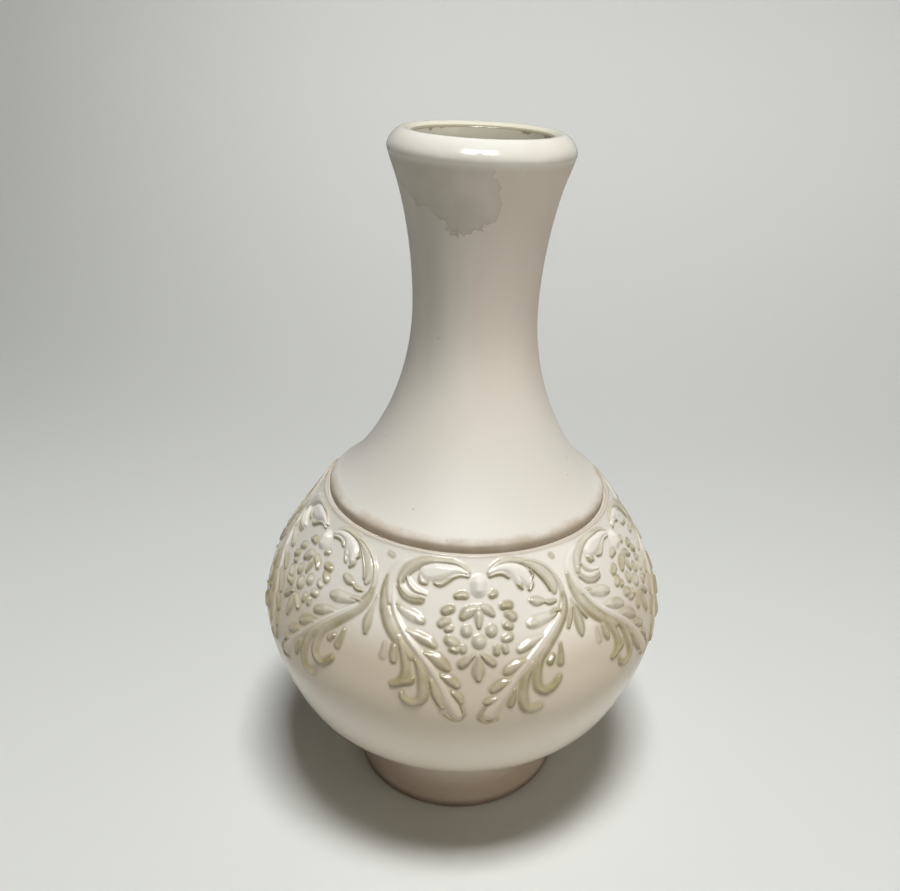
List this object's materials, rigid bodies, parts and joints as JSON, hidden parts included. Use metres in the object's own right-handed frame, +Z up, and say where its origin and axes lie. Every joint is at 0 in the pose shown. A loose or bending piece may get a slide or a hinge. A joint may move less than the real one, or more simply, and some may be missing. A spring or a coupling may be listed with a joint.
{
  "type": "vase",
  "caption": "Tall glazed ceramic bottle vase: rolled rim, flared neck, stepped collar, round belly with moulded scroll relief, plain foot ring.",
  "frame": {"origin": "middle of the foot ring's underside, on the surface the vase stands on", "axes": "+Z up along the vase's axis; -Y is the front in the picture, so the front scroll panel is turned 4.9 degrees from -Y towards +X"},
  "size_m": [0.201, 0.2026, 0.3276],
  "materials": {
    "ivory_glaze": "gloss",
    "rim_glaze": "gloss",
    "foot_glaze": "gloss",
    "relief_wash": "gloss",
    "flower_wash": "gloss",
    "bead_glaze": "gloss"
  },
  "bodies": {
    "root": {"foot_ring": "foot_glaze", "belly": "ivory_glaze", "neck": "ivory_glaze", "rim": "rim_glaze", "scroll_left_1": "relief_wash", "scroll_right_1": "relief_wash", "bead_1": "bead_glaze", "crest_1": "relief_wash", "wreath_left_1": "relief_wash", "wreath_right_1": "relief_wash", "flower_1": "flower_wash", "valley_leaf_1": "relief_wash", "scroll_left_2": "relief_wash", "scroll_right_2": "relief_wash", "bead_2": "bead_glaze", "crest_2": "relief_wash", "wreath_left_2": "relief_wash", "wreath_right_2": "relief_wash", "flower_2": "flower_wash", "valley_leaf_2": "relief_wash", "scroll_left_3": "relief_wash", "scroll_right_3": "relief_wash", "bead_3": "bead_glaze", "crest_3": "relief_wash", "wreath_left_3": "relief_wash", "wreath_right_3": "relief_wash", "flower_3": "flower_wash", "valley_leaf_3": "relief_wash", "scroll_left_4": "relief_wash", "scroll_right_4": "relief_wash", "bead_4": "bead_glaze", "crest_4": "relief_wash", "wreath_left_4": "relief_wash", "wreath_right_4": "relief_wash", "flower_4": "flower_wash", "valley_leaf_4": "relief_wash", "scroll_left_5": "relief_wash", "scroll_right_5": "relief_wash", "bead_5": "bead_glaze", "crest_5": "relief_wash", "wreath_left_5": "relief_wash", "wreath_right_5": "relief_wash", "flower_5": "flower_wash", "valley_leaf_5": "relief_wash", "scroll_left_6": "relief_wash", "scroll_right_6": "relief_wash", "bead_6": "bead_glaze", "crest_6": "relief_wash", "wreath_left_6": "relief_wash", "wreath_right_6": "relief_wash", "flower_6": "flower_wash", "valley_leaf_6": "relief_wash"}
  },
  "joints": []
}
